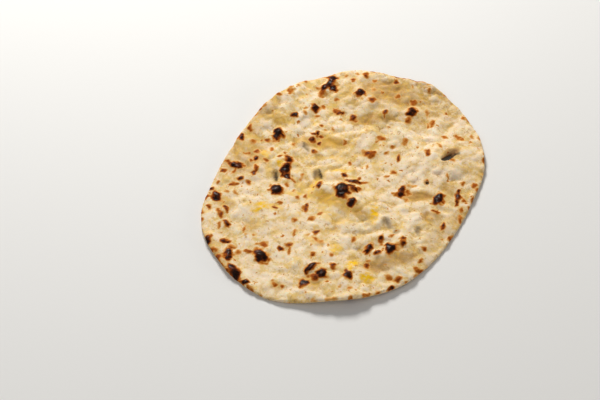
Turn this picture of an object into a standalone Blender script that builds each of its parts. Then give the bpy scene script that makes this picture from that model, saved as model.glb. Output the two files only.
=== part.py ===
"""Tandoori roti: one leavened flatbread, blistered by the oven wall, with a torn slit and a pinhole.

Metres, +Z up. The bread lies flat with its blistered side up and its length along Y. The origin is
on the surface it rests on, under the middle of its outline. It is a single solid, the node "roti".
"""

import math
from collections import namedtuple

import bmesh
import bpy

MM = 0.001

# Driving sizes
LENGTH = 225 * MM            # along Y
WIDTH = 178 * MM             # along X
THICKNESS = 3.4 * MM         # of the plain bread between its blisters
PRESSED = 0.5 * MM           # how far its own weight presses the underside flat where it lies down
EDGE_ROUND = 2.2 * MM        # width of the rounded edge, measured in from the rim

# The rim is an ellipse with a few shallow lobes: number of lobes, their depth as a share of the
# radius, and the bearing of one crest in degrees, counted from +X towards +Y
RIM_LOBES = ((1, 0.007, 40), (3, 0.010, 21), (4, 0.020, 55), (6, 0.009, 40), (7, 0.005, 27),
             (8, 0.004, 44), (13, 0.002, 5), (19, 0.0015, 12))

# Where the rim runs straighter: bearing of the middle of the stretch in degrees, half of the stretch
# in degrees, and how far it is drawn in there, as a share of the radius
RIM_FLATS = ((107, 30, 0.044), (139, 12, 0.018))

# Where the rim curls up from the surface: bearing of the middle of the lift in degrees, half of the
# stretch that it covers in degrees, and its height in mm
RIM_LIFTS = ((102, 58, 7.0), (163, 34, 4.0), (-42, 48, 5.0), (20, 30, 2.0))
LIFT_STARTS = 0.35           # share of the radius where a lift begins to leave the surface
LIFT_CURVE = 1.7             # 1 would be a straight slope, and more curls up late

# Slack left in the bread as it cooled, as long waves that cross each other: wavelength in mm,
# bearing in degrees, phase in degrees and height in mm
WAVES = ((128, 22, 40, 1.3), (86, 98, 205, 0.9), (57, 64, 90, 0.6), (150, -38, 10, 1.0))
WAVE_LEVEL = -0.7 * MM       # where the waves' middle runs against the lying bread
SETTLE = 1.0 * MM            # how softly the bread bends from lying flat to standing clear
HOLLOWED = 0.3               # share of a wave's trough that still shows on top of lying bread

# An oval mound, or a hollow where its height is negative. Every value is in mm, but for turn, which
# is the angle of its length from +X in degrees. Length and width are those of its whole foot.
Mound = namedtuple("Mound", "x y length width turn height")

# Soft swells in which both faces of the bread rise or sink together
SWELLS = (
    Mound(-26, 71, 92, 40, 6, 2.6),
    Mound(-15, 38, 66, 34, 12, 2.4),
    Mound(10, -10, 98, 38, 0, 3.2),
    Mound(64, 6, 100, 46, 97, 2.4),
    Mound(67, -29, 44, 36, 100, 1.2),
    Mound(53, 34, 36, 24, 20, 0.9),
    Mound(-72, 36, 84, 44, 78, 1.8),
    Mound(50, 62, 80, 58, 62, 5.6),
    Mound(-46, -62, 74, 44, 35, 2.2),
    Mound(30, -66, 86, 44, -14, 2.4),
    Mound(-54, -8, 52, 36, 60, 1.8),
)

# Blisters that stand up from the top face alone, the larger ones first
BLISTERS = (
    Mound(5, -10, 21, 16, 105, 2.0),
    Mound(-10.5, -86, 18, 12, -10, 1.7),
    Mound(-64, 9.5, 18, 12, 105, 1.7),
    Mound(63.5, 24, 18, 10, 95, 1.8),
    Mound(60.5, -32.5, 16, 13, 90, 1.8),
    Mound(-35, -33, 15, 13, 0, 1.7),
    Mound(-41, -13, 16, 10, 100, 1.5),
    Mound(-36, -18, 15, 8, -20, 1.2),
    Mound(-61, 75, 16, 11, 120, 1.5),
    Mound(-35, 74, 14, 12, 0, 1.5),
    Mound(5, 81.5, 14, 13, -40, 1.6),
    Mound(33, -76, 13, 12, 0, 1.4),
    Mound(1.5, 32, 14, 11, 30, 1.3),
    Mound(-55, 69, 12, 9, -40, 1.2),
    Mound(-61, 65, 13, 8, 100, 1.1),
    Mound(-40, 52, 13, 9, 0, 1.1),
    Mound(-56, 45.5, 11, 10, 0, 1.2),
    Mound(-27.5, 53.5, 11, 8, 100, 1.2),
    Mound(-23, 72, 10, 8, 45, 0.9),
    Mound(7.5, 73.5, 9, 8, 90, 0.8),
    Mound(11, -3, 13, 9, 20, 1.3),
    Mound(6, 3, 15, 7, 25, 1.1),
    Mound(16.5, -15, 12, 8, 90, 1.2),
    Mound(-12, -13, 13, 7, 95, 0.9),
    Mound(-44.5, -5, 11, 9, 0, 1.0),
    Mound(67.5, 13, 9, 8, 0, 0.9),
    Mound(38, 16, 15, 8, 110, 1.2),
    Mound(74, 34, 18, 7, 110, 1.0),
    Mound(64, -22.5, 15, 8, 120, 1.3),
    Mound(50, -29, 10, 8, 100, 1.0),
    Mound(47, -40, 14, 7, 90, 1.2),
    Mound(54.5, -40, 11, 8, 20, 0.9),
    Mound(48.5, -67, 11, 10, 0, 1.3),
    Mound(24, -76, 15, 7, 75, 1.2),
    Mound(26.5, -89, 11, 9, 0, 1.2),
    Mound(-28.5, -98, 16, 8, 125, 1.3),
    Mound(-17, -105, 15, 9, -20, 1.2),
    Mound(-66.5, -61.5, 15, 9, -30, 1.3),
    Mound(-46, -77, 14, 7, -25, 1.0),
    Mound(-54, -72, 12, 6, -30, 0.9),
    Mound(-69, -32, 16, 9, 20, 1.1),
    Mound(-58, -26, 15, 7, 115, 0.9),
)

# Dents in the top face, and the sunk lips of the slit
DENTS = (
    Mound(-19, -5.5, 13, 6.5, 125, -1.5),
    Mound(-43, -22.5, 15, 6.5, 125, -1.3),
    Mound(46.5, -14.5, 13, 7, -35, -1.0),
    Mound(67, -7.5, 9, 5.5, 125, -0.9),
    Mound(55.5, -18, 8, 6.5, 90, -0.7),
    Mound(50, 64, 30, 15, 74, -0.9),
)

# The slit is torn in the top of a puffed swell, and right through the bread at its steep end. It is
# cut by a funnel that is wider than the slit at its brim, above the bread, and narrower at its foot
SLIT_X, SLIT_Y = 47.6 * MM, 54.0 * MM       # its steep end
SLIT_TURN = math.radians(74)                # bearing of its other end, which slopes down gently
SLIT_BRIM_LENGTH, SLIT_BRIM_WIDTH = 27.0 * MM, 6.8 * MM
SLIT_FOOT_LENGTH, SLIT_FOOT_WIDTH = 0.07, 0.2     # shares of the brim's
SLIT_LOW, SLIT_HIGH = 3.3 * MM, 7.7 * MM    # its foot and brim, below and above the bread there
SLIT_POINT = 0.8             # 1 has round ends, more has pointed ones and less has blunt ones
SLIT_BEND = 0.8 * MM         # how far its middle bows aside
SLIT_SIDES = 18

# The pinhole is where one small bubble burst through
PINHOLE_X, PINHOLE_Y = 49.6 * MM, 32.4 * MM
PINHOLE_RADIUS = 1.2 * MM
PINHOLE_SIDES = 10
PINHOLE_DEPTH = 30 * MM      # more than the bread's height, so that it passes through both faces

# Resolution
RINGS = 50                   # rings of faces from the middle to the rim on each side
EDGE_RINGS = 3               # how many of them make the rounded edge
KEPT_FACES = 0.275           # share of the triangles kept: those on flat stretches go first
WELD = 0.01 * MM             # corners nearer than this are one corner
SLIVER = 0.3 * MM            # edges shorter than this along a cut are closed up
TOUCHING = 0.03 * MM         # corners lower than this lie on the surface

CRUMB_COLOUR = (0.76, 0.54, 0.28, 1.0)
CRUMB_ROUGHNESS = 0.72


def clear_scene():
    """Remove whatever the open scene holds."""
    for obj in list(bpy.data.objects):
        bpy.data.objects.remove(obj)


def collection(name):
    """A new collection in the scene."""
    group = bpy.data.collections.new(name)
    bpy.context.scene.collection.children.link(group)
    return group


def crumb_material():
    """Baked wheat dough, matt and cream coloured."""
    material = bpy.data.materials.new("baked_dough")
    material.use_nodes = True
    shader = material.node_tree.nodes["Principled BSDF"]
    shader.inputs["Base Color"].default_value = CRUMB_COLOUR
    shader.inputs["Roughness"].default_value = CRUMB_ROUGHNESS
    shader.inputs["Metallic"].default_value = 0.0
    return material


def disc_place(u, v):
    """Radius and angle on a unit disc of a point on a square of half-side 1, ring for ring."""
    ring = max(abs(u), abs(v))
    if ring == 0:
        return 0.0, 0.0
    if abs(u) >= abs(v):
        angle = math.pi / 4 * v / u
        return ring, angle if u > 0 else angle + math.pi
    angle = math.pi / 2 - math.pi / 4 * u / v
    return ring, angle if v > 0 else angle + math.pi


def edge_profile(ring):
    """Share of the radius, and fullness of the section, at a ring counted from 0 to 1.

    The fullness is 1 on the plain bread and falls to 0 at the rim as a quarter ellipse.
    """
    inner_rings = RINGS - EDGE_RINGS
    inner_radius = 1 - EDGE_ROUND / (0.25 * (LENGTH + WIDTH))
    count = ring * RINGS
    if count <= inner_rings:
        return inner_radius * count / inner_rings, 1.0
    arc = (RINGS - count) / EDGE_RINGS * math.pi / 2
    return 1 - (1 - inner_radius) * (1 - math.cos(arc)), math.sin(arc)


def along_stretch(angle, bearing, half_width):
    """1 in the middle of a stretch of the rim, and smoothly down to 0 at its ends."""
    off = math.remainder(angle - math.radians(bearing), math.tau) / math.radians(half_width)
    return math.cos(off * math.pi / 2) ** 2 if abs(off) < 1 else 0.0


def rim_radius(angle):
    """Radius of the rim at an angle, where 1 is the plain ellipse."""
    lobed = 1 + sum(depth * math.cos(count * (angle - math.radians(crest)))
                    for count, depth, crest in RIM_LOBES)
    return lobed - sum(depth * along_stretch(angle, bearing, half_width)
                       for bearing, half_width, depth in RIM_FLATS)


def rim_box():
    """Middle and half-size, along X and Y, of the lobed rim drawn on a unit circle."""
    bearings = [math.radians(degree) for degree in range(360)]
    easts = [rim_radius(angle) * math.cos(angle) for angle in bearings]
    norths = [rim_radius(angle) * math.sin(angle) for angle in bearings]
    return [((max(side) + min(side)) / 2, (max(side) - min(side)) / 2)
            for side in (easts, norths)]


def mound_height(mound, x, y):
    """Height of a mound at a place, which falls smoothly to 0 at its foot."""
    turn = math.radians(mound.turn)
    east, north = x - mound.x * MM, y - mound.y * MM
    along = (east * math.cos(turn) + north * math.sin(turn)) / (mound.length * MM / 2)
    across = (north * math.cos(turn) - east * math.sin(turn)) / (mound.width * MM / 2)
    distance = along * along + across * across
    return mound.height * MM * (1 - distance) ** 2 if distance < 1 else 0.0


def rim_lift(radius, angle):
    """How far the rim's curl raises the bread at a place on the unit disc."""
    reach = max(0.0, (radius - LIFT_STARTS) / (1 - LIFT_STARTS)) ** LIFT_CURVE
    return reach * sum(height * MM * along_stretch(angle, bearing, half_width)
                       for bearing, half_width, height in RIM_LIFTS)


def slack(x, y):
    """Height of the long waves at a place."""
    height = WAVE_LEVEL
    for length, bearing, phase, rise in WAVES:
        turn = math.radians(bearing)
        run = x * math.cos(turn) + y * math.sin(turn)
        height += rise * MM * math.sin(math.tau * run / (length * MM) + math.radians(phase))
    return height


def sheet_levels(x, y, radius, angle, fullness):
    """Heights of the underside and of the top face at one place."""
    swell = sum(mound_height(mound, x, y) for mound in SWELLS)
    clear = slack(x, y) + swell + rim_lift(radius, angle)
    stands = (clear + math.hypot(clear, SETTLE)) / 2          # never sinks below lying flat
    middle = THICKNESS / 2 - PRESSED + stands
    hollow = HOLLOWED * (clear - stands)
    blister = max(mound_height(mound, x, y) for mound in BLISTERS)
    dent = min(mound_height(mound, x, y) for mound in DENTS)
    underside = max(0.0, middle - fullness * THICKNESS / 2)
    top = middle + fullness * (THICKNESS / 2 + hollow + blister + dent)
    return underside, top


def bread_sheet(side):
    """One face of the bread as an open mesh: side 0 is the underside and side 1 the top."""
    sheet = bmesh.new()
    bmesh.ops.create_grid(sheet, x_segments=2 * RINGS, y_segments=2 * RINGS, size=1)
    (middle_x, half_x), (middle_y, half_y) = rim_box()
    for corner in sheet.verts:
        ring, angle = disc_place(corner.co.x, corner.co.y)
        radius, fullness = edge_profile(ring)
        reach = radius * rim_radius(angle)
        x = (reach * math.cos(angle) - middle_x) / half_x * WIDTH / 2
        y = (reach * math.sin(angle) - middle_y) / half_y * LENGTH / 2
        corner.co = (x, y, sheet_levels(x, y, radius, angle, fullness)[side])
    if side == 0:
        bmesh.ops.reverse_faces(sheet, faces=sheet.faces)
    mesh = bpy.data.meshes.new("sheet")
    sheet.to_mesh(mesh)
    sheet.free()
    return mesh


def bread_mesh():
    """Both faces of the bread, welded along the rim."""
    bread = bmesh.new()
    for side in (0, 1):
        sheet = bread_sheet(side)
        bread.from_mesh(sheet)
        bpy.data.meshes.remove(sheet)
    bmesh.ops.remove_doubles(bread, verts=bread.verts, dist=WELD)
    mesh = bpy.data.meshes.new("roti")
    bread.to_mesh(mesh)
    bread.free()
    return mesh


def cutter(name, mesh, group):
    """An object that only cuts: hidden from renders and drawn as wire."""
    obj = bpy.data.objects.new(name, mesh)
    obj.hide_render = True
    obj.display_type = 'WIRE'
    group.objects.link(obj)
    return obj


def slit_cutter(group):
    """A leaf-shaped funnel, bent a little, with a steep end at its origin and a gentle one at +X."""
    leaf = bmesh.new()
    bmesh.ops.create_cone(leaf, cap_ends=True, segments=SLIT_SIDES, radius1=1, radius2=1,
                          depth=SLIT_HIGH - SLIT_LOW)
    for corner in leaf.verts:
        along, across = corner.co.x, corner.co.y
        length, width = (1, 1) if corner.co.z > 0 else (SLIT_FOOT_LENGTH, SLIT_FOOT_WIDTH)
        point = math.copysign(abs(across) ** SLIT_POINT, across)
        corner.co.x = (along + 1) * length * SLIT_BRIM_LENGTH / 2
        corner.co.y = (point * width * SLIT_BRIM_WIDTH / 2
                       - SLIT_BEND * (1 - along * along))
    mesh = bpy.data.meshes.new("slit_cutter")
    leaf.to_mesh(mesh)
    leaf.free()
    obj = cutter("slit_cutter", mesh, group)
    obj.location = (SLIT_X, SLIT_Y, (SLIT_LOW + SLIT_HIGH) / 2)
    obj.rotation_euler = (0, 0, SLIT_TURN)
    return obj


def pinhole_cutter(group):
    """A round prism."""
    pin = bmesh.new()
    bmesh.ops.create_cone(pin, cap_ends=True, segments=PINHOLE_SIDES, radius1=PINHOLE_RADIUS,
                          radius2=PINHOLE_RADIUS, depth=PINHOLE_DEPTH)
    mesh = bpy.data.meshes.new("pinhole_cutter")
    pin.to_mesh(mesh)
    pin.free()
    obj = cutter("pinhole_cutter", mesh, group)
    obj.location = (PINHOLE_X, PINHOLE_Y, 0)
    return obj


def settle(obj):
    """Apply an object's modifiers, and put its lowest corners exactly on the surface."""
    mesh = bpy.data.meshes.new_from_object(obj.evaluated_get(bpy.context.evaluated_depsgraph_get()))
    obj.modifiers.clear()
    obj.data = mesh
    for corner in mesh.vertices:
        if corner.co.z < TOUCHING:
            corner.co.z = 0.0


def build_roti():
    """The bread, with its slit and pinhole cut, and fewer triangles where it is flat."""
    parts = collection("tandoori_roti")
    cutters = collection("cutters")
    mesh = bread_mesh()
    mesh.materials.append(crumb_material())
    mesh.shade_smooth()
    roti = bpy.data.objects.new("roti", mesh)
    parts.objects.link(roti)
    for tool in (slit_cutter(cutters), pinhole_cutter(cutters)):
        cut = roti.modifiers.new(tool.name, 'BOOLEAN')
        cut.operation = 'DIFFERENCE'
        cut.object = tool
    merged = roti.modifiers.new("no_slivers", 'WELD')
    merged.merge_threshold = SLIVER
    fewer = roti.modifiers.new("fewer_faces", 'DECIMATE')
    fewer.ratio = KEPT_FACES
    fewer.use_collapse_triangulate = True
    settle(roti)


clear_scene()
build_roti()
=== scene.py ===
"""Looks of the tandoori roti: its baked and blistered skin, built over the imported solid.

Metres, +Z up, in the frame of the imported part. Places and sizes on the bread are written in mm.
"""

import math
from collections import namedtuple

import bmesh
import bpy
import numpy as np
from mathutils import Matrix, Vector


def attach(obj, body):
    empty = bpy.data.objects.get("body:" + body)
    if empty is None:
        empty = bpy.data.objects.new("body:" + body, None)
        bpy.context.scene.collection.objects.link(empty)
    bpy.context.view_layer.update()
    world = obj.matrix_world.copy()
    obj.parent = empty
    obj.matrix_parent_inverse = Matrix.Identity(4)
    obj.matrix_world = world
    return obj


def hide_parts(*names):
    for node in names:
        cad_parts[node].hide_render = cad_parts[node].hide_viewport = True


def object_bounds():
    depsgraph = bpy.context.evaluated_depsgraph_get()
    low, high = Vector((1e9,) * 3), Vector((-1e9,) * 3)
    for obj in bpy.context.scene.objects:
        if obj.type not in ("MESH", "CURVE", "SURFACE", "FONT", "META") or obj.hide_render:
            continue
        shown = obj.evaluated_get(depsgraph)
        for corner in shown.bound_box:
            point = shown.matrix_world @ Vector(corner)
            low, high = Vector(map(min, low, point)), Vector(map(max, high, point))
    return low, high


MM = 0.001

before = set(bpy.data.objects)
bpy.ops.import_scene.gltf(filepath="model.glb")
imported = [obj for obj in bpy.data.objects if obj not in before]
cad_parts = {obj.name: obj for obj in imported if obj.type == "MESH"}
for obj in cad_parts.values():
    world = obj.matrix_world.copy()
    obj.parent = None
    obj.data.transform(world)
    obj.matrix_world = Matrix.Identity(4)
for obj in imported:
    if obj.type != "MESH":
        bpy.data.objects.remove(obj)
CAD_BOX = [list(corner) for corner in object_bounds()]
BOX_LOW, BOX_HIGH = (np.array(corner) for corner in CAD_BOX)

# The camera looks down on the lying bread as the photograph looks on the leaning one
CAMERA_AZIMUTH = math.radians(35)
CAMERA_ELEVATION = math.radians(52)
CAMERA_DISTANCE = 0.99167
CAMERA_AIM = Vector((-0.01533, -0.03202, 0.0045))
CAMERA_LENS = 85

# Lights, each a soft disc that faces the bread: bearing and elevation in degrees, distance and size
# in metres, power in watts and colour
Light = namedtuple("Light", "name bearing elevation distance size power colour")
LIGHTS = (
    Light("key", 140, 38, 1.3, 0.4, 18.3, (1.0, 0.99, 0.965)),
    Light("fill", -100, 50, 1.4, 1.2, 3, (1.0, 1.0, 1.0)),
    Light("rim", 15, 12, 1.2, 0.3, 2.6, (1.0, 0.95, 0.86)),
)
SKY_STRENGTH = 0.22
FLOOR_HALF = 3               # metres from its middle to each side
FLOOR_GAP = 0.05 * MM        # between the floor and the bread, so that no faces coincide

# Mesh of the skin
WELD = 0.01 * MM             # corners nearer than this are one corner
VOXEL = 0.9 * MM
SMOOTH_STEPS = 5

# The puffed lumps all over the top face, and the creases at their feet, in mm
LARGE_PUFF, MIDDLE_PUFF, SMALL_PUFF = 17, 9, 5       # widths of the lumps
PUFF_HEIGHTS = (2.4, 1.15, 0.3)
PUFF_LEVEL = 1.05            # taken off the lumps, so that they rise and sink about the solid
PUFF_ROUNDING = 0.012        # 0 would fold sharply between two lumps
WIDE_CREASE, NARROW_CREASE = 0.07, 0.1               # as shares of the lumps' noise
NARROW_SHARE = 0.75          # depth of a narrow crease against a wide one
CREASE_DEPTH = 0.4
CREASED_AREA = 15            # width of the areas with and without creases

# Blisters and dimples strewn over the top face: how many, the least and most width in mm, and the
# height as a share of the width
BLISTERS = (230, 3, 11, 0.085)
DIMPLES = (110, 2.5, 7, 0.07)

# The rest of the relief, in mm
DOME_SHARE, DOME_HIGHEST = 0.11, 0.65    # a baked spot's dome: height as a share of size, and limit
DOME_REACH = 1.3             # width of a dome against its spot's
CHAR_GRAIN, CHAR_GRAIN_SIZE = 0.1, 2.4   # roughness of charred spots
PIT_DEPTH = 1.5
DEEPEST = -1.0               # no relief cuts deeper into the top face than this
LEAST_ROOM = 0.05            # for relief on the solid's highest places, under the top of its box
UNDER_DEPTH = 0.5            # of the dimples in the underside
RIM_RAGGED = 0.25            # how far the rim's outline strays

# How a spot's heat falls off at its edge, and how far its outline strays, in mm
EDGE = 0.75
EDGE_SHARE = 0.13            # of the spot's width, added to its edge
HALO_HEAT = 0.56             # share of a spot's heat that reaches the golden ring round it
HALO_REACH = 1.8
HALO_SHARE = 0.42            # of the spot's width, added to the ring's reach
WIDER = 0.7                  # added to every spot's size, so that the thin ones show
STRAY, STRAY_SCALE = 1.0, 5.0
UNEVEN_SCALE = 4.2           # size of the uneven baking inside a spot
UNEVEN_SPOT, UNEVEN_HALO = 0.35, 1.1     # how uneven spots and their rings are

# Seeded spots: along the rim, along its brown stretch, and on the underside
RIM_SPOTS, BROWN_RIM_SPOTS, UNDER_SPOTS = 90, 26, 190
BROWN_RIM = (92, 113)        # bearings in degrees between which the rim is baked brown all along
UNDER_TOAST = 0.45           # how tan the underside is all over


class Seed:
    """A number for each noise or random draw. Straying also uses it plus 10, and baking plus 20."""
    BLISTERS, DIMPLES = 5, 6
    UNDER_SPOTS, RIM_SPOTS = 11, 12
    BAKED, BAKED_UNDER = 20, 24
    TOASTED, PALE, BUTTERED, PITS = 30, 32, 34, 38
    LARGE_PUFF, MIDDLE_PUFF, SMALL_PUFF = 40, 42, 44
    CHAR, CREASED = 46, 48
    RAGGED_RIM = 50
    DOMES = 60
    UNDER_DIMPLES, UNDER_GRAIN = 80, 82
    LUMPS = 90


# A baked spot: place, length and width in mm, turn of its length from +X in degrees, and how far it
# is baked, from 0, raw, through 0.5, orange brown, to 1, coal
Spot = namedtuple("Spot", "x y length width turn heat")

# Black blisters
COALS = (
    (5.2, -10.3, 13, 9, -62, 1.0), (9.5, -3.6, 9, 4.2, -12, .86), (6, 2.7, 11, 3.2, 22, .82),
    (16.8, -15, 6.8, 3.9, 92, .95), (-64, 9.5, 10.5, 5.8, 110, 1.0), (-41, -13.2, 9, 5.4, 102, 1.0),
    (-38, -18, 12, 3.6, -14, .9), (-35, -32.8, 9, 7.6, -15, 1.0), (-35, 74, 8, 5.4, 35, .88),
    (-61, 75.5, 8, 6, 120, .9), (-60, 70.5, 7, 5, -50, .88), (-55.3, 68.8, 6, 5, -45, .88),
    (-61, 65.8, 8, 4.2, 100, .95), (-27.5, 53.5, 6.2, 3.9, 105, .88), (-56, 45.5, 5.6, 5, 40, .88),
    (-63.7, 31, 3.6, 3.5, 0, .88), (5.3, 81.5, 9, 6.2, 122, .86), (63.8, 24, 11.6, 6, 96, 1.0),
    (73.7, 34, 13, 3.3, 112, .8), (38.2, 16.5, 9, 4.1, 110, .86), (60.5, -32.8, 8.6, 7.4, 90, 1.0),
    (50, -29.2, 6.6, 3.8, 115, .8), (47.2, -40, 8.2, 3.7, 92, .93), (48.3, -66.8, 6, 5.4, 80, .97),
    (33.3, -76.2, 6.6, 6, 0, .97), (23.6, -76, 10, 3.7, 78, .93), (27, -89, 5.8, 5.4, 0, .88),
    (-10.7, -85.5, 12, 7.6, -10, 1.0), (-28.8, -98, 11, 5.2, 122, .9), (-16.5, -107.5, 13, 5.5, -22, .97),
    (-6, -109.8, 6, 2.8, 12, .93), (-48, -96, 6.2, 4.6, -35, .92), (-37.5, -89.5, 5.6, 2.5, 22, .8),
    (-66.3, -61.7, 9, 5.2, -32, .87), (-71, -31.5, 9, 4.6, 15, .87), (-77.5, -32.5, 4.2, 2.7, 0, .8),
    (-84.2, -7.3, 6.2, 3.5, 120, .8),
)

# Red-brown blisters
SCORCHES = (
    (-2.5, 5.5, 4.6, 2.8, -45, .76), (-12, -13, 7, 3, 97, .64), (-31, -18.6, 4, 2, -10, .66),
    (-60, 60.5, 6, 5, 60, .64), (-40.3, 52.3, 8, 4.2, 5, .7), (7.3, 73.6, 4.6, 4.4, 0, .66),
    (2, 91, 5.6, 3.6, 75, .63), (-22.7, 72.3, 5.6, 4, 50, .66), (-8.5, 68, 7.8, 2.6, 108, .66),
    (-19, 99, 4, 2.7, -30, .62), (-47, 83, 3.8, 3.6, 0, .62), (44.3, 81.8, 5.6, 2.6, -45, .6),
    (36, 55, 5.6, 3.3, -55, .6), (19.7, 40.5, 8, 2.2, 110, .7), (24.5, 27.7, 3.5, 3.2, 0, .64),
    (67.8, 13, 4.8, 4.3, 0, .64), (70.2, 47, 4.5, 1.9, 100, .6), (77.6, 50, 4.6, 2.7, 80, .62),
    (78.6, 6, 6.2, 1.9, 112, .64), (42.3, 18.7, 3.7, 3.1, 0, .64), (64, -22.7, 8.8, 3.8, 118, .72),
    # The spot at (77, -49.5) on the rim is partly painted shadow
    (54.8, -40, 6.2, 3.2, 30, .68), (54.2, -52, 4.2, 2.6, -50, .68), (77, -49.5, 5, 3, 70, .6),
    (36, -67, 4.8, 3.5, -20, .65), (31, -80.8, 5, 4.6, 45, .7), (18.3, -65, 3.7, 3.1, 0, .6),
    (9.7, -49, 5.2, 3.5, 80, .65), (0, -67.8, 4.2, 3.1, 25, .68), (-2.8, -72.5, 3.3, 3.1, 0, .72),
    (-14, -76.5, 5.6, 3.5, -40, .6), (-20, -87.5, 7, 2.2, 30, .62), (-33.5, -103.5, 5, 3.8, -30, .7),
    (-45.5, -77.2, 7.6, 3.3, -25, .72), (-54.5, -72.8, 7.4, 2.8, -28, .68), (-54, -66.7, 5.8, 2.3, -35, .74),
    (-73, -58.4, 3.4, 2.8, 0, .72), (-33, -74, 5.2, 1.6, 118, .6), (-62.7, -45.7, 6.6, 2.5, 38, .64),
    (-62.2, -39.3, 4.2, 2.7, 100, .74), (-54.9, -38.8, 2.9, 2.7, 0, .6), (-69.3, -36.5, 5, 2.7, 100, .7),
    (-76, -40.3, 5, 2.5, -10, .64), (-58.5, -25.5, 8.4, 3.1, 122, .62), (-56.7, -30.5, 3.6, 2.1, 110, .7),
    (-64.5, -17.8, 2.8, 2.5, 0, .74), (-65, -21.3, 2.5, 2.3, 0, .64), (-67, -12, 4, 3.6, 0, .6),
    (-67.5, 1, 3.5, 3.1, 0, .6), (-51.2, -6, 2.8, 2.5, 0, .7), (-44, -5, 6.8, 5, -20, .78),
    (-33, 11.5, 3.8, 3.1, 0, .74), (-43.2, 24.4, 3.2, 2.8, 0, .84), (-39.2, 24.2, 2.2, 1.8, 0, .62),
    (-41, 20.5, 3.7, 3.1, 0, .74), (-34.8, 20.1, 4, 3.1, 90, .76), (-43.2, 34.5, 2.6, 2.3, 0, .6),
    (-41.6, 27, 2, 1.8, 0, .76), (-37.4, 26.4, 2.2, 1.8, 0, .78),
    (-8.3, -34.5, 7, 2.7, 120, .7), (-26.3, -41.3, 4.7, 2.3, 45, .72), (-27, -46.5, 5, 1.7, 18, .6),
)

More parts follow.
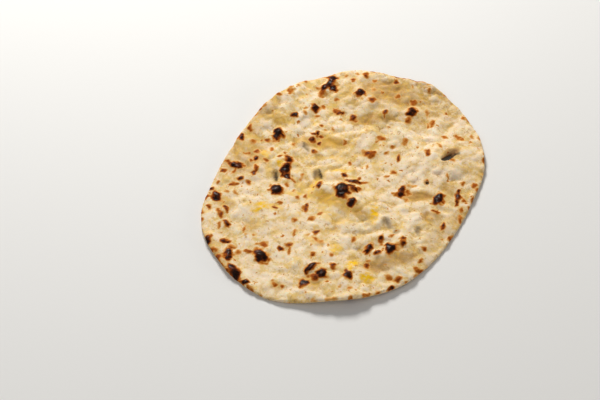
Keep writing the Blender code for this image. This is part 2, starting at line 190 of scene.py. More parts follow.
# Golden and orange-brown freckles
FRECKLES = (
    (13.5, 7.5, 5, 2, 55, .52), (7.6, 7, 4, 1.6, -60, .58), (14.2, -1.5, 5, 2, -50, .52),
    (-11, 88.5, 4.2, 3.7, 0, .54), (-41.5, 91.5, 6, 4.4, -45, .56), (-28.7, 82, 3.5, 3.2, 0, .47),
    (5.5, 106, 4.2, 2.2, -60, .52), (-7, 102, 3.5, 1.8, -55, .47), (22.6, 82, 6.5, 2.6, -60, .54),
    (20.8, 79.5, 5, 1.4, -60, .47), (14, 89, 7.5, 2.4, -55, .42), (36.8, 76.5, 4, 3.2, 0, .47),
    (47.5, 80.5, 5, 4, 0, .42), (53.8, 87.5, 4, 2, -30, .44), (38.8, 100.8, 4.4, 3, 60, .47),
    (38.5, 66, 7, 2, -30, .44), (53.8, 59, 3.8, 3.6, 0, .47), (1.8, 32, 8, 6.4, 25, .58),
    (-4, 31.5, 4.5, 3, 0, .42), (.2, 48.3, 5, 4.6, 60, .5), (-.5, 44.5, 3, 1.5, 80, .55),
    (11.3, 47, 3.2, 2.7, 0, .52), (16.7, 55.3, 5, 2.6, -70, .45), (10.4, 39.2, 2.5, 2.4, 0, .52),
    (-19.5, 30.8, 3.6, 2.2, 100, .56), (-5.5, 16.5, 3.4, 1.8, -35, .48), (21.8, 21.6, 2.8, 2.3, 0, .52),
    (6.5, 21.5, 5, 1.6, -60, .42), (78.7, 34, 3.2, 2.5, 0, .56), (81.2, 25.5, 6, 2, 115, .52),
    (84.3, 19, 6, 2.3, 125, .57), (58.5, 45.5, 5, 1.3, -65, .45), (36.5, 12.3, 5, 3, 20, .56),
    (41, 24, 6, 3, 30, .42), (44, 12, 4.5, 3.5, 0, .46), (53, -48.5, 2.2, 2, 0, .52),
    (71.5, -51.5, 4.8, 3.7, -60, .52), (78, -18.5, 3.8, 2.5, 20, .52), (81.2, -27.7, 4.6, 2.1, 100, .55),
    (83, -35, 5, 4, 0, .55), (25.9, -71, 4, 1.8, 60, .55), (26.5, -82, 2.6, 2.4, 0, .54),
    (55.5, -76, 4, 3, 30, .48), (48.5, -78, 4, 2, 70, .44), (29.8, -59.6, 4.6, 2.2, -50, .54),
    (13.5, -54, 4, 2.5, -20, .46), (17, -54, 6, 5, 0, .36), (3.2, -71.3, 6.5, 1.9, -60, .52),
    (-17.8, -78, 5, 1.6, 40, .45), (-31, -91, 5, 3.5, 10, .52), (-25.5, -91.5, 4.5, 3, 60, .5),
    (11, -99.5, 3.7, 3.1, 0, .57), (15.3, -97.7, 4, 2.4, 15, .52), (8.2, -98, 2.6, 1.9, 0, .52),
    (-39, -100, 6, 3, -30, .54), (-49.5, -81, 4.2, 1.7, -60, .55), (-65, -72, 3.2, 2.5, 30, .54),
    (-58.5, -70, 2.4, 1.2, 40, .44), (-29.8, -76.5, 2.4, 1.5, -30, .44), (-25, -74, 2.7, 2.1, 0, .46),
    (-62.3, -54, 3.2, 2.5, 20, .54), (-57, -51.3, 4.2, 2.1, -30, .5), (-73, -51, 3, 2.4, 90, .5),
    (-72, -17, 5, 1.7, 30, .52), (-57.5, -14, 4.2, 2.5, 15, .55), (-59.3, -4.7, 5.2, 2.1, 120, .55),
    (-75.3, -6, 4.2, 3.7, -60, .5), (-84.3, 3.5, 7, 3, 125, .54), (-50, 8.7, 3.8, 3, 90, .48),
    (-59.5, 37.2, 2.8, 2.1, 0, .54), (-61, 40.8, 3.4, 2, 60, .4),
    (-51.7, 50, 2.8, 2.5, 0, .54), (-51, 40.6, 2.8, 2.1, 0, .48), (-39, 33, 2.2, 1.9, 0, .48),
    (-33.8, 37, 3.2, 2.1, -30, .46), (-35, 47, 2.5, 2.1, 90, .46), (-47.8, 61, 2.8, 2.2, 90, .54),
    (-65, 63, 2.3, 2.1, 0, .5), (-76.5, 63, 3.2, 2.6, -30, .48), (-77.5, 55.8, 2.8, 2.5, 0, .54),
    (-78.5, 46.5, 5, 4.6, 0, .57), (-81, 50, 4.2, 2.5, -50, .52), (-84, 39, 3.6, 2.6, 20, .5),
    (-87, 25, 5.2, 2.3, 90, .55), (-47.5, 89.5, 3.2, 2.1, -50, .44), (-54, 84, 3.2, 2, -60, .42),
    (-33, 89.5, 3, 2, 60, .4), (-27, -13, 7, 2, 112, .45), (-19, -30, 3.6, 2, 20, .54),
    (-15, -26, 3.2, 2.1, -45, .54), (-25, -26.5, 3.7, 1.7, 90, .46), (-31.5, -25, 3.2, 1.7, -20, .56),
    (-.5, -40.3, 5, 3.3, 90, .54), (3, -33.3, 2.5, 1.6, 20, .52), (-8, -47.8, 3.5, 3.1, 0, .52),
    (-3.5, -56, 4, 1.9, 100, .44), (35, -39, 4, 2.3, 110, .54), (55.5, -22, 4, 1.8, 70, .54),
    (6, -53.5, 2.6, 2, 80, .4),
)

# A soft patch: place, length, width, turn, and its strength from 0 to 1
Patch = namedtuple("Patch", "x y length width turn strength")

# Tan patches: toasted dough, and painted shade on slopes, in hollows, on the slit's lip and by the rim
TOASTED = (
    (-74, -22, 40, 40, 0, .5), (-34, -106, 78, 12, -26, .6), (-10, 84, 90, 34, 12, .3),
    (-18, 87, 48, 22, 20, .85), (-15, 59, 32, 9, 38, .9), (-33, 22, 38, 11, 28, 1),
    (3, -20, 30, 9, 0, 1), (12, -19, 40, 9, 0, .8), (50, 18.5, 22, 9, 34, 1),
    (64, -42, 38, 13, 54, .8), (80, -2, 54, 12, 84, .3), (64, 37, 14, 9, 34, .4),
    (67, 8, 14, 9, 30, .6), (-84, 20, 14, 60, 8, .4), (-72, 21, 12, 9, 0, .6),
    (0, 109, 120, 7, 0, .4), (31, -87, 16, 12, 0, .5), (13, -100, 10, 7, 0, .6),
    (-57, -63, 15, 12, 0, .5), (-31, -70, 12, 10, 100, .5), (16, -55, 9, 8, 0, .5),
    (-8, -3, 26, 9, 18, .35), (48.4, 65.6, 13, 6, 62, 1),
)

# Painted light: lighter, floury patches on the lit tops and sides of the swells
PALE = (
    (-70, 50, 34, 16, 62, .6), (-27, 41, 26, 10, 34, 1), (-36, -12, 15, 12, 0, 1),
    (21, 0, 22, 12, 30, .9), (-12, -50, 84, 46, 10, .5), (-2, -84, 34, 22, 0, .6),
    (30, 40, 60, 40, 40, .4), (-56, 27, 20, 10, 60, .5), (-50, 92, 30, 9, 30, .5),
    (32, 38, 26, 16, 40, .9), (6, -62, 26, 14, 0, .8),
)

# Where the bread lies flatter than elsewhere
CALM = ((-28, -66, 120, 84, -12, .5), (22, 34, 44, 30, 30, .3))

# Where melted butter wetted the dough
BUTTERED = (
    (35, -14, 20, 5.5, 118, 1), (-35.5, -52.5, 14, 7, 70, 1), (45.5, -58.5, 12, 8, 85, 1),
    (59.5, -60.5, 10, 9, 0, 1), (28.5, -53, 10, 9, 0, .8), (-61, -11, 11, 9, 0, .7),
    (-46.5, -11.5, 9, 6, 20, 1), (-15, -17, 28, 4.5, 105, .8), (-7, 7.5, 14, 3.4, 30, .8),
    (-22, -28, 16, 6, 20, .6), (-18, 18, 18, 10, -20, .4), (-28, -47, 16, 6, 20, .7),
    (12, -32, 28, 9, 10, .5), (0, -21, 46, 13, 0, .4), (-33, 22, 34, 10, 28, .3),
    (-72, 23, 16, 12, 0, .35), (31, -79, 14, 8, 60, .6), (-14, -62, 10, 8, 0, .35),
    (12, -55, 9, 8, 0, .4), (64, -25, 11, 8, 60, .4),
)

# Pits where a bubble sank in, with grey-brown painted shade in them
PITS = (
    (-19, -5.5, 12, 5.5, 128, .65), (-43.5, -22, 13, 4.5, 128, .7), (46.5, -14.5, 11, 6, -38, .6),
    (67, -7.5, 8, 4, 125, .6), (55.5, -18, 6.5, 4.2, 100, .5), (-41, 12, 10, 4, 150, .3),
)

# Painted shadow along the shaded side of a pit and of the slit, and painted shade on the slit's torn lip
SHADOW_STREAKS = (
    (-17.4, -3.7, 11, 2.2, 138, 1), (-42.6, -22.6, 10, 2, 128, 1), (45, -13.5, 8, 1.8, -38, .4),
    (-41.5, 11.8, 9, 1.6, 150, .6), (52.2, 63.4, 12, 2.2, 66, .9), (48.8, 65, 13, 5, 64, .34),
)

# The torn slit and the pinhole, whose walls get darker painted shade the farther they lie below the
# top face: place, length, width, turn and level of the top face there
HOLES = ((49.6, 61.2, 21, 8.5, 74, 6.6), (49.6, 32.4, 5, 5, 0, 4.9))
TORN_DEPTH = 2.4             # mm below the top where a wall is darkest


def smooth(low, high, value):
    """0 up to low, 1 from high on, and an S between them."""
    share = np.clip((value - low) / (high - low), 0, 1)
    return share * share * (3 - 2 * share)


def wander(x, y, scale, seed, octaves=1):
    """Smooth noise of about -1 to 1 over places in mm, with hills about one scale across."""
    cells = 256
    total, weight = np.zeros_like(x), 1.0
    for octave in range(octaves):
        angles = np.random.default_rng(seed + octave).uniform(0, math.tau, (cells, cells))
        u, v = x / scale + cells / 2, y / scale + cells / 2
        column, row = np.floor(u).astype(int), np.floor(v).astype(int)
        across, along = u - column, v - row
        ease_u, ease_v = (part ** 3 * (part * (part * 6 - 15) + 10) for part in (across, along))
        rows = []
        for up in (0, 1):
            ends = []
            for side in (0, 1):
                angle = angles[(row + up) % cells, (column + side) % cells]
                ends.append(np.cos(angle) * (across - side) + np.sin(angle) * (along - up))
            rows.append(ends[0] + (ends[1] - ends[0]) * ease_u)
        total += weight * 1.5 * (rows[0] + (rows[1] - rows[0]) * ease_v)
        weight, scale = weight / 2, scale / 2
    return total


def oval(place, x, y):
    """Distance of points from an oval's middle, as a share of its radius and as mm past its edge."""
    turn = math.radians(place.turn)
    east, north = x - place.x, y - place.y
    along = (east * math.cos(turn) + north * math.sin(turn)) / (place.length / 2)
    across = (north * math.cos(turn) - east * math.sin(turn)) / (place.width / 2)
    share = np.maximum(np.hypot(along, across), 0.05)
    return share, np.hypot(east, north) * (1 - 1 / share)


def patches(rows, x, y):
    """The strongest of some soft patches at each point."""
    field = np.zeros_like(x)
    for row in rows:
        patch = Patch(*row)
        share = oval(patch, x, y)[0]
        field = np.maximum(field, patch.strength * (1 - smooth(0.6, 1.35, share)))
    return field


def inside(place, x, y):
    """1 inside a hole's oval, and 0 well outside it."""
    return 1 - smooth(0.8, 1.2, oval(Patch(*place, 1), x, y)[0])


def hole_shade(x, y, level):
    """How much painted shade darkens a wall of the slit or of the pinhole, from 0 at its brim to 1 down
    inside.
    """
    field = np.zeros_like(x)
    for *place, top in HOLES:
        field = np.maximum(field, inside(place, x, y) * smooth(0, TORN_DEPTH, top - level))
    return field


def strayed(x, y, seed):
    """Places moved aside a little, so that outlines on them come out ragged."""
    return (x + STRAY * wander(x, y, STRAY_SCALE, seed, 2),
            y + STRAY * wander(x, y, STRAY_SCALE, seed + 10, 2))


def baked(spots, x, y, seed):
    """Heat of the hottest spot at each point, with a golden ring round each spot."""
    x, y = strayed(x, y, seed)
    uneven = wander(x, y, UNEVEN_SCALE, seed + 20, 2)
    heat = np.zeros_like(x)
    for spot in spots:
        past = oval(spot, x, y)[1] - WIDER / 2
        edge = EDGE + EDGE_SHARE * spot.width
        core = 1 - smooth(-edge, edge, past)
        ring = 1 - smooth(-edge, HALO_REACH + HALO_SHARE * spot.width, past)
        halo = HALO_HEAT * ring * (1 + UNEVEN_HALO * uneven)
        heat = np.maximum(heat, spot.heat * np.maximum(core, halo))
    return np.clip(heat * (1 + UNEVEN_SPOT * uneven), 0, 1)


def domes(spots, x, y):
    """Height in mm of the small domes on the spots."""
    x, y = strayed(x, y, Seed.DOMES)
    height = np.zeros_like(x)
    for spot in spots:
        share = oval(spot, x, y)[0] / DOME_REACH
        rise = min(DOME_SHARE * math.sqrt(spot.length * spot.width), DOME_HIGHEST)
        height = np.maximum(height, rise * np.clip(1 - share * share, 0, 1) ** 1.5)
    return height


def random_place(draw):
    """A random place in mm on the oval that fills the bread's box."""
    reach, bearing = math.sqrt(draw.uniform()), draw.uniform(0, math.tau)
    return (reach * math.cos(bearing) * BOX_HIGH[0] / MM,
            reach * math.sin(bearing) * BOX_HIGH[1] / MM)


def bubbles(count, low, high, rise, seed):
    """Small round blisters or dimples strewn over the bread, as spots with a height for heat."""
    draw = np.random.default_rng(seed)
    rows = []
    for _ in range(count):
        place = random_place(draw)
        size = low + (high - low) * draw.uniform() ** 2
        rows.append(Spot(*place, size, size * draw.uniform(0.6, 1), draw.uniform(0, 180),
                         rise * size * draw.uniform(0.4, 1)))
    return rows


def strewn(spots, x, y):
    """Height in mm of strewn bubbles."""
    height = np.zeros_like(x)
    for spot in spots:
        near = np.abs(x - spot.x) + np.abs(y - spot.y) < spot.length
        share = oval(spot, x[near], y[near])[0]
        height[near] += spot.heat * np.clip(1 - share * share, 0, 1) ** 2
    return height


def skin_mesh():
    """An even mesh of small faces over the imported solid."""
    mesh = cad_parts["roti"].data.copy()
    mesh.materials.clear()
    solid = bmesh.new()
    solid.from_mesh(mesh)
    bmesh.ops.remove_doubles(solid, verts=solid.verts, dist=WELD)
    solid.to_mesh(mesh)
    solid.free()
    skin = bpy.data.objects.new("tandoori_roti", mesh)
    bpy.context.scene.collection.objects.link(skin)
    rounder = skin.modifiers.new("rounder", 'SUBSURF')
    rounder.levels = rounder.render_levels = 1
    even = skin.modifiers.new("even", 'REMESH')
    even.mode = 'VOXEL'
    even.voxel_size = VOXEL
    soft = skin.modifiers.new("soft", 'SMOOTH')
    soft.iterations = SMOOTH_STEPS
    fine = bpy.data.meshes.new_from_object(skin.evaluated_get(bpy.context.evaluated_depsgraph_get()))
    skin.modifiers.clear()
    skin.data = fine
    return skin


def read_vectors(items, name):
    """A mesh's corners or normals as rows of three numbers."""
    values = np.empty(len(items) * 3)
    items.foreach_get(name, values)
    return values.reshape(-1, 3)


def pillows(x, y, scale, seed):
    """0 along a net of soft creases, and up to about 1 on the puffed dough between them."""
    return np.sqrt(wander(x, y, scale, seed) ** 2 + PUFF_ROUNDING)


def lumps(x, y):
    """Height in mm of the puffed lumps all over the top face."""
    x, y = strayed(x, y, Seed.LUMPS)
    large, middle, small = PUFF_HEIGHTS
    puffs = (large * pillows(x, y, LARGE_PUFF, Seed.LARGE_PUFF)
             + middle * pillows(x, y, MIDDLE_PUFF, Seed.MIDDLE_PUFF)
             + small * wander(x, y, SMALL_PUFF, Seed.SMALL_PUFF))
    return (puffs - PUFF_LEVEL) * (1 - patches(CALM, x, y))


def creases(x, y):
    """Up to 1 along the thin creases at the feet of the puffed lumps, and 0 off them."""
    x, y = strayed(x, y, Seed.LUMPS)
    wide = wander(x, y, LARGE_PUFF, Seed.LARGE_PUFF) / WIDE_CREASE
    narrow = wander(x, y, MIDDLE_PUFF, Seed.MIDDLE_PUFF) / NARROW_CREASE
    lines = np.maximum(np.exp(-wide * wide), NARROW_SHARE * np.exp(-narrow * narrow))
    shown = smooth(-0.35, 0.35, wander(x, y, CREASED_AREA, Seed.CREASED))
    return lines * shown * (1 - patches(CALM, x, y))


def pits(x, y):
    """Depth in mm of the pits."""
    depth = np.zeros_like(x)
    for row in PITS:
        pit = Patch(*row)
        bowl = np.clip(1 - oval(pit, x, y)[0] ** 2, 0, 1) ** 0.7
        depth += PIT_DEPTH * pit.strength * bowl
    return depth


def capped(height, level):
    """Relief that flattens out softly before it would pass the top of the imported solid's box."""
    room = np.maximum(BOX_HIGH[2] / MM - level, LEAST_ROOM)
    return height / (1 + (np.maximum(height, 0) / room) ** 4) ** 0.25


def relief(x, y, level, heat, spots):
    """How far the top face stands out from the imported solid, in mm."""
    height = lumps(x, y) + domes(spots, x, y) - CREASE_DEPTH * creases(x, y) - pits(x, y)
    height += strewn(bubbles(*BLISTERS, Seed.BLISTERS), x, y)
    height -= strewn(bubbles(*DIMPLES, Seed.DIMPLES), x, y)
    height += CHAR_GRAIN * smooth(0.6, 0.9, heat) * wander(x, y, CHAR_GRAIN_SIZE, Seed.CHAR)
    height = np.maximum(height, DEEPEST)
    for *place, _ in HOLES:
        height *= 1 - inside(place, x, y)
    return capped(height, level)


def under_relief(x, y):
    """How far the underside is dimpled, in mm. It only goes up, as the bread lies on the rest."""
    dimples = wander(x, y, 11, Seed.UNDER_DIMPLES) + 0.4 * wander(x, y, 5, Seed.UNDER_GRAIN)
    return UNDER_DEPTH * np.maximum(0, dimples - 0.1)


def top_and_under(upward):
    """How far corners belong to the top face and to the underside, by how far up they face."""
    return smooth(-0.1, 0.5, upward), smooth(0.1, 0.6, -upward)


def shape(corners, facing, heights):
    """Move the skin's corners up by their heights in mm, roughen the rim, and keep to the box."""
    x, y, _ = corners.T / MM
    corners[:, 2] += heights * MM
    side = 1 - np.abs(facing[:, 2])
    ragged = RIM_RAGGED * side * wander(x, y, 6, Seed.RAGGED_RIM, 2) * MM
    corners[:, :2] += facing[:, :2] * ragged[:, None]
    np.clip(corners, BOX_LOW, BOX_HIGH, out=corners)


def store_fields(mesh, x, y, level, upward, heat):
    """Store the numbers that the material reads, one of each kind for each corner of the mesh."""
    top, under = top_and_under(upward)
    # Tan patches: partly toasted dough, partly painted shade on slopes and hollows; the underside is toasted
    # all over
    toast_and_shade = patches(TOASTED, *strayed(x, y, Seed.TOASTED)) * (1 - under)
    fields = {
        "baked": heat,
        "toast_and_shade": np.maximum(toast_and_shade, UNDER_TOAST * under),
        # Painted light: the lit patches on the swells
        "painted_light": patches(PALE, *strayed(x, y, Seed.PALE)) * top,
        "butter": patches(BUTTERED, *strayed(x, y, Seed.BUTTERED)) * top,
        # Painted shade in the pits
        "pit": patches(PITS, *strayed(x, y, Seed.PITS)) * top,
        # Painted shadow: the dark lines by the pits and the slit
        "streak": patches(SHADOW_STREAKS, *strayed(x, y, Seed.PITS)) * top,
        # Painted light and shade: the lumps' height lightens their tops and darkens the hollows between them
        "lump_light_and_shade": lumps(x, y) * top,
        # Painted shade along the creases at the lumps' feet
        "crease_shade": creases(x, y) * top,
        "golden": 1 - 0.4 * smooth(0, 55, x + 0.3 * y) - 0.4 * smooth(55, 90, y),
        # Painted shade on the walls of the holes, darker deeper down
        "hole_shade": hole_shade(x, y, level) * smooth(-0.7, -0.2, upward),
    }
    for name, values in fields.items():
        field = mesh.attributes.new(name, 'FLOAT', 'POINT')
        field.data.foreach_set("value", values.astype(np.float32))


def build_roti():
    """The bread's skin, with its relief, and with its baking stored for the material."""
    skin = skin_mesh()
    mesh = skin.data
    corners = read_vectors(mesh.vertices, "co")
    facing = read_vectors(mesh.vertices, "normal")
    x, y, level = corners.T / MM
    upward = facing[:, 2]
    top, under = top_and_under(upward)

    spots = [Spot(*row) for row in COALS + SCORCHES + FRECKLES] + rim_spots(corners, upward)
    heat = baked(spots, x, y, Seed.BAKED) * smooth(-0.5, 0.1, upward)
    heat_under = baked(underside_spots(), x, y, Seed.BAKED_UNDER) * under
    heights = relief(x, y, level, heat, spots) * top + under_relief(x, y) * under
    shape(corners, facing, heights)
    mesh.vertices.foreach_set("co", corners.ravel())
    store_fields(mesh, x, y, level, upward, np.maximum(heat, heat_under))

    mesh.shade_smooth()
    mesh.materials.append(dough_material())
    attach(skin, "root")
    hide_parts("roti")


def rim_spots(corners, upward):
    """Seeded brown spots along the rim, and close together where it is baked all along."""
    draw = np.random.default_rng(Seed.RIM_SPOTS)
    rim = corners[np.abs(upward) < 0.25] / MM
    bearings = np.degrees(np.arctan2(rim[:, 1], rim[:, 0]))
    stretch = rim[(bearings > BROWN_RIM[0]) & (bearings < BROWN_RIM[1])]
    rows = []
    for x, y, _ in rim[draw.integers(0, len(rim), RIM_SPOTS)]:
        size = 0.8 + 3 * draw.uniform() ** 2
        bearing = math.degrees(math.atan2(y, x)) + 90
        rows.append(Spot(x, y, size * 1.5, size, bearing, draw.uniform(0.3, 0.66)))
    for x, y, _ in stretch[draw.integers(0, len(stretch), BROWN_RIM_SPOTS)]:
        bearing = math.degrees(math.atan2(y, x)) + 90
        rows.append(Spot(x, y, draw.uniform(2, 5), 0.9, bearing, draw.uniform(0.5, 0.72)))
    return rows


def underside_spots():
    """Seeded brown spots where the underside touched the hot oven wall."""
    draw = np.random.default_rng(Seed.UNDER_SPOTS)
    rows = []
    for _ in range(UNDER_SPOTS):
        place = random_place(draw)
        size = 2 + 8 * draw.uniform() ** 2.5
        rows.append(Spot(*place, size, size * draw.uniform(0.5, 1), draw.uniform(0, 180),
                         min(draw.uniform(0.36, 0.7) + 0.03 * size, 0.92)))
    return rows


def srgb(red, green, blue):
    """A colour written as 0 to 255 screen values, as the linear values that shaders take."""
    values = [part / 255 for part in (red, green, blue)]
    return [part / 12.92 if part <= 0.04045 else ((part + 0.055) / 1.055) ** 2.4
            for part in values] + [1.0]


class Shader:
    """Short calls that add nodes to one material."""

    def __init__(self, name):
        self.material = bpy.data.materials.new(name)
        self.material.use_nodes = True
        self.nodes = self.material.node_tree.nodes
        self.links = self.material.node_tree.links
        self.surface = self.nodes["Principled BSDF"]

    def put(self, value, socket):
        """Link a socket to an output, or give it a plain value."""
        if isinstance(value, bpy.types.NodeSocket):
            self.links.new(value, socket)
        else:
            socket.default_value = value

    def place(self):
        """Places on the object, in metres."""
        return self.nodes.new("ShaderNodeTexCoord").outputs["Object"]

    def field(self, name):
        """A number stored on the mesh."""
        node = self.nodes.new("ShaderNodeAttribute")
        node.attribute_name = name
        return node.outputs["Fac"]

    def noise(self, place, size, detail=2.0, rough=0.5, warp=0.0):
        """Cloudy noise around 0.5 with features of about one size in mm."""
        node = self.nodes.new("ShaderNodeTexNoise")
        node.inputs["Scale"].default_value = 1 / (size * MM)
        node.inputs["Detail"].default_value = detail
        node.inputs["Roughness"].default_value = rough
        node.inputs["Distortion"].default_value = warp
        self.links.new(place, node.inputs["Vector"])
        return node.outputs["Fac"]

    def warped(self, place, size, reach):
        """Places moved aside by up to about half of reach, in mm, in swirls of one size."""
        noise = self.nodes.new("ShaderNodeTexNoise")
        noise.inputs["Scale"].default_value = 1 / (size * MM)
        noise.inputs["Detail"].default_value = 2
        self.links.new(place, noise.inputs["Vector"])
        middle = self.nodes.new("ShaderNodeVectorMath")
        middle.operation = 'SUBTRACT'
        middle.inputs[1].default_value = (0.5, 0.5, 0.5)
        self.links.new(noise.outputs["Color"], middle.inputs[0])
        moved = self.nodes.new("ShaderNodeVectorMath")
        moved.operation = 'MULTIPLY_ADD'
        moved.inputs[1].default_value = (reach * MM, reach * MM, reach * MM)
        self.links.new(middle.outputs[0], moved.inputs[0])
        self.links.new(place, moved.inputs[2])
        return moved.outputs[0]

    def specks(self, place, spacing, small, large, rarity, strength):
        """Soft specks about a spacing in mm apart: sizes are shares of it, rarity leaves some out."""
        node = self.nodes.new("ShaderNodeTexVoronoi")
        node.inputs["Scale"].default_value = 1 / (spacing * MM)
        self.links.new(place, node.inputs["Vector"])
        chance = self.nodes.new("ShaderNodeSeparateColor")
        self.links.new(node.outputs["Color"], chance.inputs["Color"])
        size = self.step(chance.outputs["Green"], 0, 1, small, large)
        close = self.step(self.math('DIVIDE', node.outputs["Distance"], size), 0.2, 1.3, 1, 0)
        there = self.math('GREATER_THAN', chance.outputs["Red"], rarity)
        return self.math('MULTIPLY', self.math('MULTIPLY', close, there), strength)

    def math(self, kind, first, second=0.0, clamp=False):
        """One sum or product."""
        node = self.nodes.new("ShaderNodeMath")
        node.operation = kind
        node.use_clamp = clamp
        self.put(first, node.inputs[0])
        self.put(second, node.inputs[1])
        return node.outputs[0]

    def total(self, *parts):
        """The sum of some values, each times its share."""
        result = 0.0
        for share, value in parts:
            result = self.math('ADD', result, self.math('MULTIPLY', value, share))
        return result

    def step(self, value, low, high, start=0.0, end=1.0):
        """Map low to start and high to end, smoothly."""
        node = self.nodes.new("ShaderNodeMapRange")
        node.interpolation_type = 'SMOOTHSTEP'
        self.put(value, node.inputs["Value"])
        for name, number in (("From Min", low), ("From Max", high), ("To Min", start), ("To Max", end)):
            node.inputs[name].default_value = number
        return node.outputs["Result"]

    def mix(self, share, first, second):
        """Blend two colours."""
        node = self.nodes.new("ShaderNodeMix")
        node.data_type = 'RGBA'
        self.put(share, node.inputs["Factor"])
        self.put(first, node.inputs["A"])
        self.put(second, node.inputs["B"])
        return node.outputs["Result"]

    def ramp(self, value, stops):
        """A colour for each value, blended between (place, colour) stops."""
        node = self.nodes.new("ShaderNodeValToRGB")
        points = node.color_ramp.elements
        points.remove(points[1])
        points[0].position, points[0].color = stops[0]
        for place, colour in stops[1:]:
            points.new(place).color = colour
        self.put(value, node.inputs["Fac"])
        return node.outputs["Color"]


DOUGH = ((0.30, srgb(188, 146, 80)), (0.41, srgb(213, 180, 120)), (0.50, srgb(231, 205, 162)),
         (0.60, srgb(239, 219, 184)), (0.76, srgb(244, 230, 206)))
BAKED = ((0.22, srgb(222, 182, 120)), (0.36, srgb(210, 152, 80)), (0.48, srgb(184, 108, 34)),
         (0.62, srgb(150, 72, 10)), (0.73, srgb(104, 44, 8)), (0.86, srgb(62, 26, 9)),
         (1.0, srgb(28, 14, 9)))
# The tan of toasted dough, also used for painted shade
TOAST = srgb(180, 134, 74)
YELLOW = srgb(219, 181, 98)
# Floury white, for clouds of flour and for painted light
FLOUR_AND_LIGHT = srgb(235, 215, 191)
BUTTER = srgb(236, 186, 36)
# Painted shade in the pits
PIT_SHADE = srgb(124, 94, 60)
# Painted shadow
SHADOW_STREAK = srgb(46, 36, 24)
# Painted shade on the holes' walls, darker deeper down
HOLE_WALL_SHADE = ((0.1, srgb(200, 160, 106)), (0.45, srgb(170, 124, 74)), (0.8, srgb(104, 66, 34)))

DOUGH_ROUGHNESS = 0.72
GLOSS = 0.42                 # how much smoother char and butter are


def dough_colour(shader, place, middle, fine):
    """Mottled cream, with painted light on lumps and lit patches and painted shade in hollows and creases.
    """
    broad = shader.noise(place, 24, 3, 0.55, 0.4)
    painted_light = shader.field("painted_light")
    # Painted light on lumps and lit patches; painted shade in hollows, creases and tan patches, partly toast
    tone = shader.total((0.2, broad), (0.5, middle), (0.3, fine), (0.11, shader.field("lump_light_and_shade")),
                        (-0.15, shader.field("toast_and_shade")), (0.08, painted_light),
                        (-0.07, shader.field("crease_shade")))
    colour = shader.ramp(shader.math('ADD', tone, 0.012), DOUGH)
    # Painted light: the lit patches are whitened with the floury colour
    return shader.mix(shader.math('MULTIPLY', painted_light, 0.35), colour, FLOUR_AND_LIGHT)


def tinted(shader, colour, place, middle):
    """The dough with its clouds of yellow and of flour, its tanned places, and its tan patches of toast and
    painted shade.
    """
    toast_and_shade = shader.field("toast_and_shade")
    hue = shader.noise(place, 8, 4, 0.62, 0.5)
    yellowed = shader.math('MULTIPLY', shader.step(hue, 0.47, 0.66, 0, 0.72), shader.field("golden"))
    colour = shader.mix(yellowed, colour, YELLOW)
    clear_of_toast_and_shade = shader.math('SUBTRACT', 1, toast_and_shade, clamp=True)
    floury = shader.math('MULTIPLY', clear_of_toast_and_shade, shader.step(hue, 0.52, 0.34, 0, 0.7))
    colour = shader.mix(floury, colour, FLOUR_AND_LIGHT)
    tanned = shader.step(shader.noise(place, 3.4, 3, 0.6, 1.0), 0.56, 0.72, 0, 0.75)
    colour = shader.mix(tanned, colour, TOAST)
    # Painted shade and toast: the tan patches, mottled
    toasted_and_shaded = shader.math('MULTIPLY', toast_and_shade, shader.step(middle, 0.35, 0.6, 0.25, 0.75))
    return shader.mix(toasted_and_shaded, colour, TOAST)


def butter_share(shader, place):
    """How buttery the dough is: in the buttered patches, and faintly in thin streaks all over."""
    off_line = shader.math('SUBTRACT', shader.noise(place, 7, 2, 0.4, 0.6), 0.5)
    streak = shader.step(shader.math('ABSOLUTE', off_line), 0.0, 0.035, 1, 0)
    pooled = shader.step(shader.noise(place, 3, 2), 0.35, 0.55, 0.35, 1.0)
    butter = shader.math('MULTIPLY', shader.field("butter"), shader.math('MAXIMUM', streak, pooled))
    return shader.math('MAXIMUM', butter, shader.math('MULTIPLY', streak, 0.3))


def flickering_heat(shader, place):
    """How scorched the dough is: the stored spots, made uneven, and fine specks besides."""
    off_middle = shader.math('SUBTRACT', shader.noise(place, 1.8, 2, 0.5), 0.5)
    flicker = shader.math('MULTIPLY', off_middle, 0.6)
    stored = shader.field("baked")
    heat = shader.math('ADD', stored, shader.math('MULTIPLY', flicker, stored))
    ragged = shader.warped(place, 2, 4)
    heat = shader.math('MAXIMUM', heat, shader.specks(ragged, 7, 0.1, 0.27, 0.55, 0.55))
    return shader.math('MAXIMUM', heat, shader.specks(ragged, 4, 0.14, 0.32, 0.72, 0.45))


def shaded_pits(shader, colour, middle):
    """The dough with grey-brown painted shade in its pits."""
    grain = shader.step(middle, 0.3, 0.6, 0.45, 1.1)
    pit = shader.math('MULTIPLY', shader.field("pit"), grain, clamp=True)
    return shader.mix(pit, colour, PIT_SHADE)


def opened(shader, colour, fine):
    """The bread with painted shade on its holes' walls and painted shadow streaks by the slit and pits."""
    # Painted shade on the holes' walls
    wall = shader.math('MULTIPLY', shader.field("hole_shade"), shader.step(fine, 0.3, 0.7, 0.75, 1.25))
    colour = shader.mix(shader.step(wall, 0.0, 0.2), colour, shader.ramp(wall, HOLE_WALL_SHADE))
    # Painted shadow: the dark lines by the slit and the pits
    shadowed = shader.math('MULTIPLY', shader.field("streak"), shader.step(fine, 0.3, 0.6, 0.65, 1))
    return shader.mix(shadowed, colour, SHADOW_STREAK)


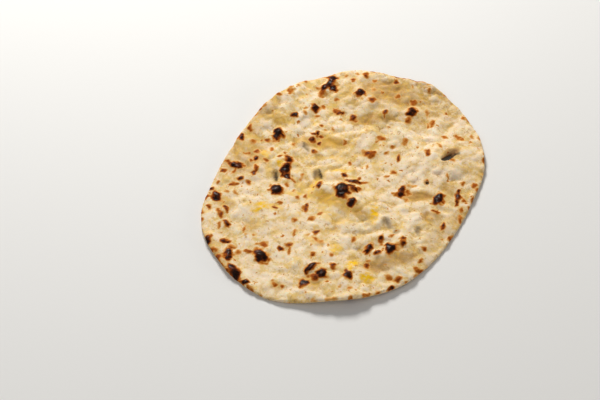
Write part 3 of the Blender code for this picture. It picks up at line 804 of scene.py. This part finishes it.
def set_gloss(shader, heat, butter):
    """Soft, matt dough that lets a little light in. Char and butter shine a little."""
    inputs = shader.surface.inputs
    inputs["Subsurface Weight"].default_value = 0.2
    inputs["Subsurface Radius"].default_value = (1.0, 0.5, 0.25)
    inputs["Subsurface Scale"].default_value = 2.5 * MM
    inputs["Specular IOR Level"].default_value = 0.06
    char_gloss = shader.step(heat, 0.6, 0.85, 0.0, GLOSS)
    butter_gloss = shader.math('MULTIPLY', butter, GLOSS)
    gloss = shader.math('MAXIMUM', char_gloss, butter_gloss)
    shader.put(shader.math('SUBTRACT', DOUGH_ROUGHNESS, gloss), inputs["Roughness"])


def set_crumb(shader, middle, fine):
    """The fine bumps of the crumb."""
    bump = shader.nodes.new("ShaderNodeBump")
    bump.inputs["Strength"].default_value = 0.4
    bump.inputs["Distance"].default_value = 0.7 * MM
    shader.put(shader.total((0.55, middle), (0.45, fine)), bump.inputs["Height"])
    shader.put(bump.outputs["Normal"], shader.surface.inputs["Normal"])


def dough_material():
    """Baked wheat dough: mottled cream, toasted, scorched, buttered."""
    shader = Shader("baked_dough")
    place = shader.place()
    middle = shader.noise(place, 5, 4, 0.6, 0.3)
    fine = shader.noise(place, 1.3, 3, 0.6)
    butter = butter_share(shader, place)
    heat = flickering_heat(shader, place)

    colour = dough_colour(shader, place, middle, fine)
    colour = tinted(shader, colour, place, middle)
    colour = shader.mix(butter, colour, BUTTER)
    colour = shaded_pits(shader, colour, middle)
    colour = shader.mix(shader.step(heat, 0.12, 0.34), colour, shader.ramp(heat, BAKED))
    colour = opened(shader, colour, fine)
    shader.put(colour, shader.surface.inputs["Base Color"])
    set_gloss(shader, heat, butter)
    set_crumb(shader, middle, fine)
    return shader.material


def floor_material():
    """Plain pale paint."""
    shader = Shader("pale_floor")
    shader.surface.inputs["Base Color"].default_value = (0.78, 0.77, 0.75, 1.0)
    shader.surface.inputs["Roughness"].default_value = 0.8
    return shader.material


def build_floor():
    """A plain pale floor just under the bread."""
    plate = bmesh.new()
    bmesh.ops.create_grid(plate, x_segments=1, y_segments=1, size=FLOOR_HALF)
    mesh = bpy.data.meshes.new("floor")
    plate.to_mesh(mesh)
    plate.free()
    floor = bpy.data.objects.new("floor", mesh)
    floor.location.z = -FLOOR_GAP
    bpy.context.scene.collection.objects.link(floor)
    mesh.materials.append(floor_material())


def add_camera():
    """A camera at the photograph's viewing angle."""
    lens = bpy.data.cameras.new("camera")
    lens.lens = CAMERA_LENS
    lens.clip_start = 0.01
    camera = bpy.data.objects.new("camera", lens)
    flat = math.cos(CAMERA_ELEVATION)
    back = Vector((math.sin(CAMERA_AZIMUTH) * flat, -math.cos(CAMERA_AZIMUTH) * flat,
                   math.sin(CAMERA_ELEVATION)))
    camera.location = CAMERA_AIM + back * CAMERA_DISTANCE
    camera.rotation_euler = back.to_track_quat('Z', 'Y').to_euler()
    bpy.context.scene.collection.objects.link(camera)
    bpy.context.scene.camera = camera


def add_light(light):
    """A soft area light that faces the bread."""
    lamp = bpy.data.lights.new(light.name, 'AREA')
    lamp.shape = 'DISK'
    lamp.size = light.size
    lamp.energy = light.power
    lamp.color = light.colour
    disc = bpy.data.objects.new(light.name, lamp)
    turn, tilt = math.radians(light.bearing), math.radians(light.elevation)
    back = Vector((math.cos(turn) * math.cos(tilt), math.sin(turn) * math.cos(tilt), math.sin(tilt)))
    disc.location = back * light.distance
    disc.rotation_euler = back.to_track_quat('Z', 'Y').to_euler()
    bpy.context.scene.collection.objects.link(disc)


def set_stage():
    """Floor, lights, surroundings and camera."""
    build_floor()
    for light in LIGHTS:
        add_light(light)
    world = bpy.data.worlds.new("soft_grey")
    world.use_nodes = True
    background = world.node_tree.nodes["Background"]
    background.inputs["Color"].default_value = (1, 1, 1, 1)
    background.inputs["Strength"].default_value = SKY_STRENGTH
    bpy.context.scene.world = world
    bpy.context.scene.view_settings.view_transform = 'Standard'
    add_camera()


build_roti()
set_stage()
